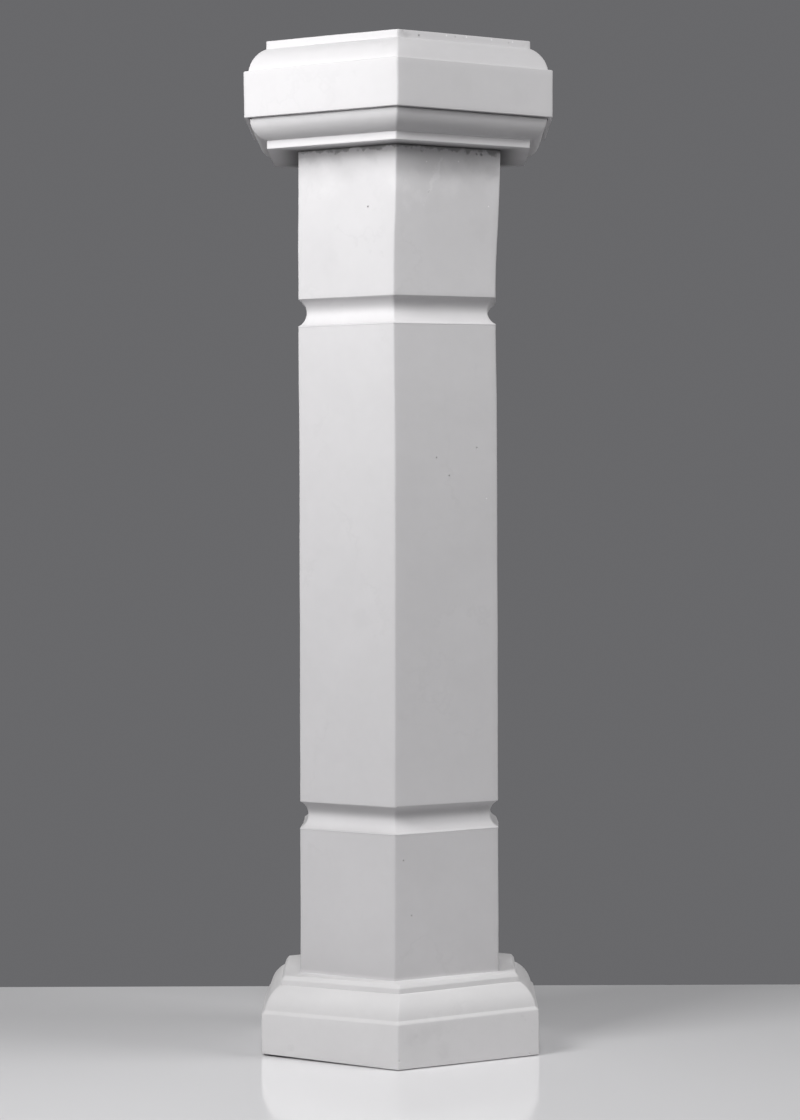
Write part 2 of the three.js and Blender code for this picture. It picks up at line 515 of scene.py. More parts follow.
bead_height = shaft_low.z + FILLER_RISE * MM
margin = Vector((BEAD_MARGIN, BEAD_MARGIN, BEAD_REACH * MM))
foot_low = Vector((shaft_low.x, shaft_low.y, bead_height)) - margin
foot_high = Vector((shaft_high.x, shaft_high.y, bead_height)) + margin
bead_random = random.Random(BEAD_SEED)


def bead_move(place):
    """Moves only the middle level of the cage, where the top of the bead is."""
    wave = bead_random.uniform(-BEAD_WAVES, BEAD_WAVES)
    if abs(place.z - bead_height) > MM:
        return Vector((0, 0, 0))
    return Vector((0, 0, BEAD_DROP + BEAD_TILT * place.x / shaft_high.x + wave))


ease_by_hand(shaft_block, foot_low, foot_high, BEAD_POINTS, bead_move, "KEY_LINEAR")
print("the bead stands", FILLER_RISE, "mm high round the foot, at", round(bead_height / MM, 1), "mm")

# %% [markdown]
# The capital: a fillet, a convex moulding that swells outwards as it rises, a tall fascia, and a
# second convex moulding that draws in again under the top fillet. A narrow quirk, a sunk channel,
# parts the lower moulding from the fascia above it and reads as a dark line. When its cage is done,
# every block gets a faint unevenness as well.

# %% Capital
capital_low, capital_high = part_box("capital")
CAPITAL_UNDERSIDE = capital_low.z / MM
CAPITAL_TOP = capital_high.z / MM
LOWER_FILLET_WIDTH = 258.8
LOWER_FILLET_TOP = CAPITAL_UNDERSIDE + 8.2
LOWER_OVOLO_FOOT_WIDTH = 262
LOWER_OVOLO_WIDTH = 291.6
LOWER_OVOLO_BULGE = 4
QUIRK_BELOW = 1
QUIRK_ABOVE = 1.5
QUIRK_DEPTH = 1.5
FASCIA_FOOT = CAPITAL_UNDERSIDE + 29
FASCIA_FOOT_WIDTH = 302.2
FASCIA_WIDTH = 303
FASCIA_TOP = CAPITAL_UNDERSIDE + 75
LEDGE = FASCIA_TOP + 0.6
UPPER_OVOLO_WIDTH = 294
UPPER_OVOLO_TOP = CAPITAL_UNDERSIDE + 97.2
UPPER_OVOLO_TOP_WIDTH = 261.4
UPPER_OVOLO_BULGE = 3.25
UPPER_FILLET_WIDTH = 259.6
CAPITAL_TOP_MARGIN = 2
CAPITAL_TURN = math.radians(-0.4)

capital_stops = [
    stop(LOWER_FILLET_WIDTH, CAPITAL_UNDERSIDE),
    stop(LOWER_FILLET_WIDTH, LOWER_FILLET_TOP, 0.6),
    *round_moulding(
        stop(LOWER_OVOLO_FOOT_WIDTH, LOWER_FILLET_TOP, 0.5),
        stop(LOWER_OVOLO_WIDTH, FASCIA_FOOT - QUIRK_BELOW, 0.3),
        LOWER_OVOLO_BULGE,
    ),
    stop(LOWER_OVOLO_WIDTH - 2 * QUIRK_DEPTH, FASCIA_FOOT - QUIRK_BELOW, 0),
    stop(LOWER_OVOLO_WIDTH - 2 * QUIRK_DEPTH, FASCIA_FOOT + QUIRK_ABOVE, 0),
    stop(LOWER_OVOLO_WIDTH + 2 * QUIRK_DEPTH, FASCIA_FOOT + QUIRK_ABOVE, 0),
    stop(LOWER_OVOLO_WIDTH + 2 * QUIRK_DEPTH, FASCIA_FOOT, 0),
    stop(FASCIA_FOOT_WIDTH, FASCIA_FOOT, 0.7),
    stop(FASCIA_WIDTH, FASCIA_TOP, 0.9),
    *round_moulding(
        stop(UPPER_OVOLO_WIDTH, LEDGE, 0.4),
        stop(UPPER_OVOLO_TOP_WIDTH, UPPER_OVOLO_TOP, 0.5),
        UPPER_OVOLO_BULGE,
    ),
    stop(UPPER_FILLET_WIDTH, UPPER_OVOLO_TOP, 0.5),
    stop(UPPER_FILLET_WIDTH, CAPITAL_TOP, 0.9),
    stop(UPPER_FILLET_WIDTH - 2 * CAPITAL_TOP_MARGIN, CAPITAL_TOP),
]
capital_block = raise_block("capital_block", capital_stops, CAPITAL_TURN)

LOW_ARRIS_WANDER = -1.9
RISE_OF_RIGHT_FASCIA_FOOT = -0.8
RISE_OF_RIGHT_LEDGE = -0.8
RISE_OF_LEFT_LEDGE = -1
RISE_OF_RIGHT_RIM = -0.5
RISE_OF_LEFT_RIM = 0.8


def capital_move(place):
    """The near arris wanders to the left at the foot, and the outer corners rise or sink a little."""
    level = round(3 * (place.z - capital_low.z) / (capital_high.z - capital_low.z))
    if level == 0 and abs(place.x) < MM and place.y < -MM:
        return Vector((LOW_ARRIS_WANDER, 0, 0))
    if level == 1 and place.x > MM:
        return Vector((0, 0, RISE_OF_RIGHT_FASCIA_FOOT))
    if level == 2 and abs(place.x) > MM:
        return Vector((0, 0, RISE_OF_RIGHT_LEDGE if place.x > 0 else RISE_OF_LEFT_LEDGE))
    if level == 3 and abs(place.x) > MM:
        return Vector((0, 0, RISE_OF_RIGHT_RIM if place.x > 0 else RISE_OF_LEFT_RIM))
    return Vector((0, 0, 0))


ease_by_hand(capital_block, capital_low, capital_high, (ACROSS, DEEP, 4), capital_move)

BROAD_WAVES = (90 * MM, 0.7 * MM, "ORIGINAL_PERLIN")
FINE_WAVES = (22 * MM, 0.25 * MM, "BLENDER_ORIGINAL")

for block in (base_block, shaft_block, capital_block):
    waver(block, *BROAD_WAVES)
    waver(block, *FINE_WAVES)
    print(block.name, "is now", [round(side / MM, 1) for side in block.dimensions], "mm")

# %% [markdown]
# Small pits, open pores of the stone, and chips along the edges are bites. Pebbles, rough little
# spheres, are set half into the surface and taken away from the block by a Boolean modifier. Those
# that the photograph shows are given by their pixels. The hidden sides get a few more, drawn at
# random with a fixed seed.

# %% Bites
SMALL_PIT = 0.75
LARGE_PIT = 1.25
JOINT_HOLE = 1.5
PEBBLE_SUBDIVISIONS = 2
PEBBLE_STRETCH = (0.75, 1.25)
PIT_SINK = 0.25
HIDDEN_PIT_SINK = 0.2
HIDDEN_PIT_RADII = (0.5, 1)
HIDDEN_AZIMUTHS = (66, 292)
EDGE_CHIP_RADII = (0.7, 1.8)
EDGE_CHIP_OUT = 0.7


def pebbles_at(places, wear_random):
    """Adds a rough sphere at each place, with its radius in millimetres, and joins them into one."""
    select_nothing()
    pebbles = []
    for place, radius in places:
        turn = [wear_random.uniform(0, math.pi) for _ in range(3)]
        stretch = [wear_random.uniform(*PEBBLE_STRETCH) for _ in range(3)]
        bpy.ops.mesh.primitive_ico_sphere_add(
            subdivisions=PEBBLE_SUBDIVISIONS,
            radius=radius * MM,
            location=place,
            rotation=turn,
            scale=stretch,
        )
        pebbles.append(bpy.context.object)
    for pebble in pebbles:
        pebble.select_set(True)
    bpy.context.view_layer.objects.active = pebbles[0]
    bpy.ops.object.join()
    return bpy.context.object


def take_bites(block, places, wear_random):
    """Cuts the pebbles out of a block."""
    cutter = pebbles_at(places, wear_random)
    modifier = block.modifiers.new("bites", "BOOLEAN")
    modifier.operation = "DIFFERENCE"
    modifier.solver = "EXACT"
    modifier.object = cutter
    apply_modifier(block, modifier)
    select_nothing()
    cutter.select_set(True)
    bpy.ops.object.delete()
    print(block.name, len(places), "bites,", len(block.data.polygons), "faces")


def pit(block, pixel, radius):
    """A pit where the photograph shows one: the pebble's middle lies just under the surface."""
    place, normal = seen_at(block, pixel)
    return place - normal * radius * PIT_SINK * MM, radius


def chip(block, pixel, radius, bite):
    """A shallow chip, which goes a bite deep into the stone."""
    place, normal = seen_at(block, pixel)
    return place + normal * (radius - bite) * MM, radius


def hidden_pits(block, low, high, count, wear_random):
    """Pits on the sides that the photograph doesn't show."""
    places = []
    for _ in range(count):
        azimuth = math.radians(wear_random.uniform(*HIDDEN_AZIMUTHS))
        height = wear_random.uniform(low, high)
        outside = Vector((math.sin(azimuth), -math.cos(azimuth), height))
        inward = Vector((-math.sin(azimuth), math.cos(azimuth), 0))
        hit, place, normal, _ = block.ray_cast(outside, inward)
        if hit:
            radius = wear_random.uniform(*HIDDEN_PIT_RADII)
            places.append((place - normal * radius * HIDDEN_PIT_SINK * MM, radius))
    return places


def worn_corner(width, turn, side, share):
    """A point on the edge of a hexagon, from one corner of it, side, towards the next by share."""
    reach = width / 2 * CORNER_REACH * MM
    corners = []
    for step in (side, side + 1):
        angle = math.radians(360 / SIDES * step) + turn
        corners.append(Vector((math.sin(angle) * reach, -math.cos(angle) * reach, 0)))
    return corners[0].lerp(corners[1], share)


def edge_chips(width, height, turn, count, wear_random):
    """Shallow chips along an edge of a block, on the four sides that the photograph doesn't show."""
    places = []
    for _ in range(count):
        side = wear_random.randrange(1, SIDES - 1)
        share = wear_random.random()
        place = worn_corner(width, turn, side, share) + Vector((0, 0, height * MM))
        outward = Vector((place.x, place.y, 0)).normalized()
        radius = wear_random.uniform(*EDGE_CHIP_RADII)
        places.append((place + outward * radius * EDGE_CHIP_OUT * MM, radius))
    return places


print("a small pit has a radius of", SMALL_PIT, "mm, a large one of", LARGE_PIT, "mm")

# %% [markdown]
# Here are the places themselves. The visible pits are nearly all on the shaft, and three small
# holes lie in the joint under the capital, where no filler reached. The capital is chipped along
# its top rim and under its fascia, and the base at its near arris and its foot. A chip is a radius
# and a depth in millimetres. For the hidden pits there are a lowest and a highest place in metres,
# and how many are tried.

# %% Pits and chips of the three blocks
PIT_ON_LEFT_FACE = (367.7, 206)
PITS_ON_RIGHT_FACE = ((435.9, 457.1), (448.7, 475), (476.4, 447), (403, 860), (411, 915))
HOLES_IN_HEAD_JOINT = ((421.4, 149.6), (476, 153.6), (481, 154))
PIT_ON_TOP_FILLET = (418.5, 35)
NOTCH_BY_TOP_ARRIS = (402.5, 31.5)
CHIPS_ON_TOP_FILLET = ((455, 36.6), (463, 37.8), (471, 38.4), (508, 42.8))
CHIPS_UNDER_RIGHT_FASCIA = ((430, 107.4), (447, 108.6), (497, 112), (521, 113.6))
CHIP_ON_BASE_ARRIS = (398.5, 1061)
CHIP_AT_BASE_FOOT = (529, 1053.5)
NOTCH = (2, 0.7)
TOP_CHIP = (1.3, 0.5)
FASCIA_CHIP = (1.5, 0.4)
BASE_ARRIS_CHIP = (2.2, 0.5)
BASE_FOOT_CHIP = (1.8, 0.5)
SHAFT_HIDDEN_PITS = (0.09, 0.89, 16)
CAPITAL_HIDDEN_PITS = (0.93, 0.99, 8)
BASE_HIDDEN_PITS = (0.005, 0.07, 8)
CHIPS_TO_AN_EDGE = 6
CHIPS_TO_A_RIM = 8
WEAR_SEED = 21

wear_random = random.Random(WEAR_SEED)
shaft_bites = [pit(shaft_block, PIT_ON_LEFT_FACE, LARGE_PIT)]
shaft_bites += [pit(shaft_block, pixel, SMALL_PIT) for pixel in PITS_ON_RIGHT_FACE]
shaft_bites += [pit(shaft_block, pixel, JOINT_HOLE) for pixel in HOLES_IN_HEAD_JOINT]
shaft_bites += hidden_pits(shaft_block, *SHAFT_HIDDEN_PITS, wear_random)
take_bites(shaft_block, shaft_bites, wear_random)

capital_bites = [pit(capital_block, PIT_ON_TOP_FILLET, LARGE_PIT)]
capital_bites += [chip(capital_block, NOTCH_BY_TOP_ARRIS, *NOTCH)]
capital_bites += [chip(capital_block, pixel, *TOP_CHIP) for pixel in CHIPS_ON_TOP_FILLET]
capital_bites += [chip(capital_block, pixel, *FASCIA_CHIP) for pixel in CHIPS_UNDER_RIGHT_FASCIA]
capital_bites += hidden_pits(capital_block, *CAPITAL_HIDDEN_PITS, wear_random)
capital_bites += edge_chips(FASCIA_WIDTH, FASCIA_TOP, CAPITAL_TURN, CHIPS_TO_AN_EDGE, wear_random)
capital_bites += edge_chips(FASCIA_FOOT_WIDTH, FASCIA_FOOT, CAPITAL_TURN, CHIPS_TO_AN_EDGE, wear_random)
capital_bites += edge_chips(UPPER_FILLET_WIDTH, CAPITAL_TOP, CAPITAL_TURN, CHIPS_TO_A_RIM, wear_random)
take_bites(capital_block, capital_bites, wear_random)

base_bites = [chip(base_block, CHIP_ON_BASE_ARRIS, *BASE_ARRIS_CHIP)]
base_bites += [chip(base_block, CHIP_AT_BASE_FOOT, *BASE_FOOT_CHIP)]
base_bites += hidden_pits(base_block, *BASE_HIDDEN_PITS, wear_random)
base_bites += edge_chips(BASE_FASCIA_WIDTH, BASE_FASCIA_HEIGHT, BASE_TURN, CHIPS_TO_AN_EDGE, wear_random)
take_bites(base_block, base_bites, wear_random)

# %% [markdown]
# The stone is a dull white marble, rubbed smooth but never polished. Its colour isn't even: pale
# clouds a hand wide lie over finer ones, a few thin veins run through it, and use has left faint
# stains. All of that is noise on Object coordinates, so it goes through the block like real stone.
# A small class wraps a shader socket, so that the sums between such patterns can be written as
# plain formulas.

# %% Formulas on shader sockets


class Pattern:
    """A value that changes from place to place; sums on it add Math nodes to its node tree."""

    def __init__(self, socket):
        self.socket = socket
        self.tree = socket.id_data

    def node(self, kind, settings, sockets, output=0):
        """Adds a node: its settings are set first, then its sockets get values or patterns."""
        new = self.tree.nodes.new(kind)
        for key, setting in settings.items():
            setattr(new, key, setting)
        for key, value in sockets.items():
            self.feed(new.inputs[key], value)
        return Pattern(new.outputs[output])

    def feed(self, target, value):
        """Links a pattern to a socket, or sets the socket's own value."""
        if isinstance(value, Pattern):
            self.tree.links.new(value.socket, target)
        else:
            target.default_value = value

    def math(self, operation, first, second):
        """One Math node."""
        return self.node("ShaderNodeMath", {"operation": operation}, {0: first, 1: second})

    def vector(self, operation, sockets, output=0):
        """One Vector Math node."""
        return self.node("ShaderNodeVectorMath", {"operation": operation}, sockets, output)

    def __add__(self, other):
        return self.math("ADD", self, other)

    def __sub__(self, other):
        return self.math("SUBTRACT", self, other)

    def __rsub__(self, other):
        return self.math("SUBTRACT", other, self)

    def __mul__(self, other):
        return self.math("MULTIPLY", self, other)

    __radd__ = __add__
    __rmul__ = __mul__

    def noise(self, scale, detail=3.0, roughness=0.5):
        """Soft noise at this place, with this many clouds to the metre."""
        sockets = {"Vector": self, "Scale": scale, "Detail": detail, "Roughness": roughness}
        return self.node("ShaderNodeTexNoise", {}, sockets)

    def ramp(self, start, end):
        """Rises softly from 0 at start to 1 at end."""
        sockets = {"Value": self, "From Min": start, "From Max": end}
        return self.node("ShaderNodeMapRange", {"interpolation_type": "SMOOTHSTEP"}, sockets)

    def distance(self, centre):
        """How far this place is from a point, in metres."""
        return self.vector("DISTANCE", {0: self, 1: tuple(centre)}, 1)

    def moved(self, shift):
        """This place moved by a vector."""
        return self.vector("ADD", {0: self, 1: shift})

    def height(self):
        """The height of this place."""
        return self.node("ShaderNodeSeparateXYZ", {}, {0: self}, 2)


print("patterns can be added, subtracted and multiplied")

# %% [markdown]
# A mark is a mask that is 1 in its middle and fades out. A stain is a soft round mark whose rim the
# noise makes ragged. A vein is a mark along a straight line between two points, and the noise bends
# it.

# %% Marks in the stone
RAGGED = 3.5
RAGGED_CLOUDS = 0.6
RAGGED_DETAIL = 4.0
MIDDLE_GREY = (0.5, 0.5, 0.5)
STAIN_CORE = 0.15
DOT_CORE = 0.6
VEIN_CORE = 0.2
VEIN_WANDER = 6 * MM


def ragged(place, size):
    """The place, pushed about by noise as large as the size, so that marks get uneven rims."""
    sockets = {"Vector": place, "Scale": RAGGED_CLOUDS / size, "Detail": RAGGED_DETAIL}
    push = place.node("ShaderNodeTexNoise", {}, sockets, 1)
    centred = push.vector("SUBTRACT", {0: push, 1: MIDDLE_GREY})
    grown = centred.vector("SCALE", {0: centred, "Scale": size * RAGGED})
    return place.moved(grown)


def stain(place, centre, size):
    """A ragged round mark of this radius in metres."""
    return 1 - ragged(place, size / 2).distance(centre).ramp(size * STAIN_CORE, size)


def ring(place, turn, inner, outer):
    """1 inside a hexagon of the first width, fading to 0 at the second; widths in millimetres."""
    widest = None
    for side in range(SIDES // 2):
        angle = math.radians(360 / SIDES * (side + 0.5)) + turn
        facing = (math.sin(angle), -math.cos(angle), 0)
        across = place.vector("DOT_PRODUCT", {0: place, 1: facing}, 1)
        half_width = across.math("ABSOLUTE", across, 0)
        widest = half_width if widest is None else widest.math("MAXIMUM", widest, half_width)
    return 1 - widest.ramp(inner / 2 * MM, outer / 2 * MM)


def dot(place, centre, size):
    """A small round mark with a clear rim."""
    return 1 - place.distance(centre).ramp(size * DOT_CORE, size)


def vein(place, start, end, width):
    """A mark along the line from start to end, bent by noise."""
    along = end - start
    offset = ragged(place, VEIN_WANDER).moved(tuple(-start))
    reached = offset.vector("DOT_PRODUCT", {0: offset, 1: tuple(along)}, 1)
    clamped = {"operation": "MULTIPLY", "use_clamp": True}
    share = reached.node("ShaderNodeMath", clamped, {0: reached, 1: 1 / along.length_squared})
    nearest = share.vector("SCALE", {0: tuple(along), "Scale": share})
    gap = offset.vector("DISTANCE", {0: offset, 1: nearest}, 1)
    return 1 - gap.ramp(width * VEIN_CORE, width)


print("the rim of a mark strays by up to", RAGGED / 2, "times the size of its noise")

# %% [markdown]
# The material of a block starts from one pale grey. Clouds and veins change how light it is by a
# few hundredths, and the marks, which are different on each block, darken or lighten it by their
# own strength; some of the marks are painted shade and painted light. Where a mark darkens the
# stone it is also a little rougher. Grain finer than a millimetre, and the faint strokes of the
# rubbing, go into the bump, because they are too small for the mesh.

# %% Marble
CLOUD_DEPTH = 0.05
FINE_CLOUD_DEPTH = 0.025
VEIN_DEPTH = 0.03
CLOUDS_TO_THE_METRE = 13
FINE_CLOUDS_TO_THE_METRE = 85
VEINS_TO_THE_METRE = 5
VEIN_RIDGE = (0, 0.012)
VEINED_CLOUDS = (0.45, 0.6)
GRAINS_TO_THE_METRE = 1400
GRAIN_HEIGHT = 0.12 * MM
STROKES_TO_THE_METRE = 420
STROKE_SQUEEZE = (1, 1, 0.12)
STROKE_HEIGHT = 0.05 * MM
BUMP_STRENGTH = 0.5
ROUGHNESS = 0.58
ROUGHNESS_OF_CLOUDS = 0.16
ROUGHNESS_OF_MARKS = 0.3


def marble(name, colour, offset, marks_of):
    """A matt white marble; marks_of(place) gives the lightening and darkening of the block's marks."""
    material = bpy.data.materials.new(name)
    material.use_nodes = True
    shader = material.node_tree.nodes["Principled BSDF"]
    coordinates = material.node_tree.nodes.new("ShaderNodeTexCoord")
    place = Pattern(coordinates.outputs["Object"])
    stone = place.moved(offset)
    clouds = stone.noise(CLOUDS_TO_THE_METRE, 4.0, 0.55)
    fine_clouds = stone.noise(FINE_CLOUDS_TO_THE_METRE, 5.0, 0.6)
    ridge = stone.noise(VEINS_TO_THE_METRE, 6.0, 0.62)
    veins = 1 - ridge.math("ABSOLUTE", ridge - 0.5, 0).ramp(*VEIN_RIDGE)
    marks = marks_of(place)
    light = 1 + (clouds - 0.5) * CLOUD_DEPTH * 2 + (fine_clouds - 0.5) * FINE_CLOUD_DEPTH * 2
    light = light - veins * clouds.ramp(*VEINED_CLOUDS) * VEIN_DEPTH + marks
    tint = light.vector("SCALE", {0: colour, "Scale": light})
    tint.feed(shader.inputs["Base Color"], tint)
    rough = ROUGHNESS + (fine_clouds - 0.5) * ROUGHNESS_OF_CLOUDS - marks * ROUGHNESS_OF_MARKS
    rough.feed(shader.inputs["Roughness"], rough)
    grain = stone.noise(GRAINS_TO_THE_METRE, 3.0, 0.6)
    squeezed = stone.vector("MULTIPLY", {0: stone, 1: STROKE_SQUEEZE})
    strokes = squeezed.noise(STROKES_TO_THE_METRE, 2.0, 0.5)
    relief = grain * GRAIN_HEIGHT + strokes * STROKE_HEIGHT
    sockets = {"Strength": BUMP_STRENGTH, "Distance": 1.0, "Height": relief}
    bump = relief.node("ShaderNodeBump", {}, sockets)
    bump.feed(shader.inputs["Normal"], bump)
    print(name, len(material.node_tree.nodes), "nodes")
    return material


print("the clouds lighten or darken the stone by up to", round(CLOUD_DEPTH + FINE_CLOUD_DEPTH, 3))

# %% [markdown]
# The shaft bears most of the marks. Under the capital, filler was smeared down over both faces; the
# pale smears by the near arris of the right face are partly painted light. A pale vein with a dark
# hairline comes down the right face, and there are a few bright specks of crystal. A band of painted
# shade lies at the top of the shaft under the capital, and painted light fades in over the top few
# centimetres. Each groove has painted shade in its upper half and painted light in its lower half.
# The bead of filler at the foot is paler than the stone, with painted bounce light on it and on the
# foot just above. The size of a mark is in metres. How far the painted shade and light reach is in
# millimetres. A fade is the pair of heights between which a band across the whole shaft comes or goes.

# %% Marks on the shaft
VEIN_TOP = (441, 158)
VEIN_BEND = (431, 189)
VEIN_END = (421, 203)
HAIRLINE_TOP = (433, 186)
HEAD_SHADE_REACH = 4.5
PAINTED_LIGHT_REACH = 55
# Painted shade in the upper half of each groove and painted light in its lower half.
GROOVE_PAINTED_SHADE = ((LOWER_GROOVE_MIDDLE, 0.26), (UPPER_GROOVE_MIDDLE, 0.12))
GROOVE_PAINTED_LIGHT = 0.09
SPECKS = ((426, 161), (458, 161), (488, 206), (486, 498))
SMEARS = ((312, 160), (336, 158), (372, 156), (470, 160), (490, 172))
# Pale filler smears; those by the near arris of the right face are painted light.
PALE_SMEARS_AND_PAINTED_LIGHT = ((322, 168), (412, 172), (446, 166), (407, 186), (418, 196), (406, 204))
SHAFT_STAINS = ((432, 206), (480, 228), (330, 262), (362, 620))
VEIN_WIDTH = 4 * MM
VEIN_LIGHT = 0.1
LOWER_VEIN_WIDTH = 3 * MM
LOWER_VEIN_LIGHT = 0.05
HAIRLINE_WIDTH = 1.1 * MM
HAIRLINE_DARK = 0.2
SPECK_SIZE = 0.9 * MM
SPECK_LIGHT = 0.3
SMEAR_SIZE = 11 * MM
SMEAR_DARK = 0.09
PALE_SMEAR_AND_LIGHT_SIZE = 9 * MM
PALE_SMEAR_AND_PAINTED_LIGHT = 0.05
SHAFT_STAIN_SIZE = 16 * MM
SHAFT_STAIN_DARK = 0.025
# The bead of filler is paler, and the fade up the foot is painted bounce light.
BEAD_FADE = (shaft_low.z + 2 * MM, shaft_low.z + 5 * MM)
BEAD_PALE_AND_PAINTED_LIGHT = 0.16
# Painted shade: a dark band at the head of the shaft, just under the capital.
HEAD_LINE_RAGGED = 5 * MM
HEAD_LINE_FADE = (shaft_high.z - HEAD_SHADE_REACH * MM, shaft_high.z - MM)
HEAD_PAINTED_SHADE = 0.5
# Painted light: it fades in over the top of the shaft, where the capital's shadow falls.
PAINTED_LIGHT_RAGGED = 20 * MM
PAINTED_LIGHT_FADE = (shaft_high.z - PAINTED_LIGHT_REACH * MM, shaft_high.z - HEAD_SHADE_REACH * MM)
HEAD_PAINTED_LIGHT = 0.18
SHADE_BELOW_MIDDLE = 3
SHADE_ABOVE_MIDDLE = 7
GROOVE_MARGIN = 1.5
GROOVE_RING = (1.4, 0.2)


def on_block(block, pixel):
    """The point of the block behind a pixel."""
    return seen_at(block, pixel)[0]


def groove_marks(place, middle, upper_shade):
    """Painted light in the lower half of a groove and painted shade in its upper half."""
    height = place.height()
    near = height.math("ABSOLUTE", height - middle * MM, 0)
    upper = height.ramp((middle - SHADE_BELOW_MIDDLE) * MM, (middle + SHADE_ABOVE_MIDDLE) * MM)
    width = shaft_width_at(middle)
    hollow = ring(place, SHAFT_TURN, width - GROOVE_RING[0], width - GROOVE_RING[1])
    inside = hollow * (1 - near.ramp(GROOVE_HEIGHT / 2 * MM, (GROOVE_HEIGHT / 2 + GROOVE_MARGIN) * MM))
    return inside * (GROOVE_PAINTED_LIGHT - upper * (upper_shade + GROOVE_PAINTED_LIGHT))


def shaft_marks(place):
    """Lightening above zero and darkening below it, over the whole shaft."""
    top, bend, end = (on_block(shaft_block, pixel) for pixel in (VEIN_TOP, VEIN_BEND, VEIN_END))
    hairline_top = on_block(shaft_block, HAIRLINE_TOP)
    marks = vein(place, top, bend, VEIN_WIDTH) * VEIN_LIGHT
    marks = marks + vein(place, bend, end, LOWER_VEIN_WIDTH) * LOWER_VEIN_LIGHT
    marks = marks - vein(place, hairline_top, end, HAIRLINE_WIDTH) * HAIRLINE_DARK
    for pixel in SPECKS:
        marks = marks + dot(place, on_block(shaft_block, pixel), SPECK_SIZE) * SPECK_LIGHT
    for pixel in SMEARS:
        marks = marks - stain(place, on_block(shaft_block, pixel), SMEAR_SIZE) * SMEAR_DARK
    # Pale filler smears, partly painted light where the capital's shadow is thinner by the arris.
    for pixel in PALE_SMEARS_AND_PAINTED_LIGHT:
        marks = marks + stain(place, on_block(shaft_block, pixel), PALE_SMEAR_AND_LIGHT_SIZE) * PALE_SMEAR_AND_PAINTED_LIGHT
    for pixel in SHAFT_STAINS:
        marks = marks - stain(place, on_block(shaft_block, pixel), SHAFT_STAIN_SIZE) * SHAFT_STAIN_DARK
    # Painted shade and painted light in each groove.
    for middle, upper_shade in GROOVE_PAINTED_SHADE:
        marks = marks + groove_marks(place, middle, upper_shade)
    # Paler filler at the foot, with painted bounce light on the bead and the foot just above it.
    bead = 1 - place.height().ramp(*BEAD_FADE)
    # Painted shade at the head of the shaft, where the capital shades it.
    line = ragged(place, HEAD_LINE_RAGGED).height().ramp(*HEAD_LINE_FADE)
    # Painted light over the top of the shaft, lifting the capital's shadow.
    painted_light_band = ragged(place, PAINTED_LIGHT_RAGGED).height().ramp(*PAINTED_LIGHT_FADE)
    return marks + bead * BEAD_PALE_AND_PAINTED_LIGHT + painted_light_band * HEAD_PAINTED_LIGHT - line * HEAD_PAINTED_SHADE


smears = SMEARS + PALE_SMEARS_AND_PAINTED_LIGHT
print("the shaft has", len(SPECKS), "specks,", len(smears), "smears and", len(SHAFT_STAINS), "stains")

# %% [markdown]
# The base has faint stains low on its right face, by the near arris, and one on its left face. The
# capital has a smudge by its top arris and painted highlights along the top rim. It has painted
# shade where the fascia stands out over the lower moulding, painted light on the lower fillet, and
# painted shade on its underside, darkest close to the shaft and lighter towards the rim.

# %% Marks on the base and the capital
BASE_STAINS = ((437, 1028), (423, 1033), (411, 1037), (444, 1050), (291, 1048))
BASE_STAIN_SIZES = (13, 13, 10, 12, 6)
FAINT_LINE = ((520, 1014), (534, 1026))
TOP_ARRIS_STAIN = (404, 33)
CAPITAL_STAINS = ((330, 95), (462, 82), (520, 96))
# Painted highlights: small bright dots along the top rim of the capital.
RIM_PAINTED_HIGHLIGHTS = ((446, 35), (466, 36.6), (491, 39.2), (512, 41.6))
FAINT_LINE_WIDTH = 2 * MM
FAINT_LINE_DARK = 0.05
BASE_STAIN_DARK = 0.05
TOP_ARRIS_STAIN_SIZE = 7 * MM
TOP_ARRIS_STAIN_DARK = 0.16
CAPITAL_STAIN_SIZE = 15 * MM
CAPITAL_STAIN_DARK = 0.02
RIM_HIGHLIGHT_SIZE = 1.1 * MM
RIM_HIGHLIGHT_STRENGTH = 0.25
# Painted shade under the fascia, painted light on the lower fillet, painted shade on the underside.
UNDER_FASCIA_FADE = ((FASCIA_FOOT - 12) * MM, (FASCIA_FOOT - 2) * MM)
UNDER_FASCIA_PAINTED_SHADE = 0.15
FILLET_FADE = ((LOWER_FILLET_TOP - 0.4) * MM, (LOWER_FILLET_TOP + 0.4) * MM)
FILLET_PAINTED_LIGHT = 0.1
SOFFIT_FADE = (capital_low.z + 0.4 * MM, capital_low.z + 1.2 * MM)
SOFFIT_PAINTED_SHADE = 0.14
SOFFIT_PAINTED_SHADE_BY_SHAFT = 0.68


def base_marks(place):
    """Faint stains near the foot, and a hairline near the right corner."""
    start, end = (on_block(base_block, pixel) for pixel in FAINT_LINE)
    marks = vein(place, start, end, FAINT_LINE_WIDTH) * -FAINT_LINE_DARK
    for pixel, size in zip(BASE_STAINS, BASE_STAIN_SIZES):
        marks = marks - stain(place, on_block(base_block, pixel), size * MM) * BASE_STAIN_DARK
    return marks


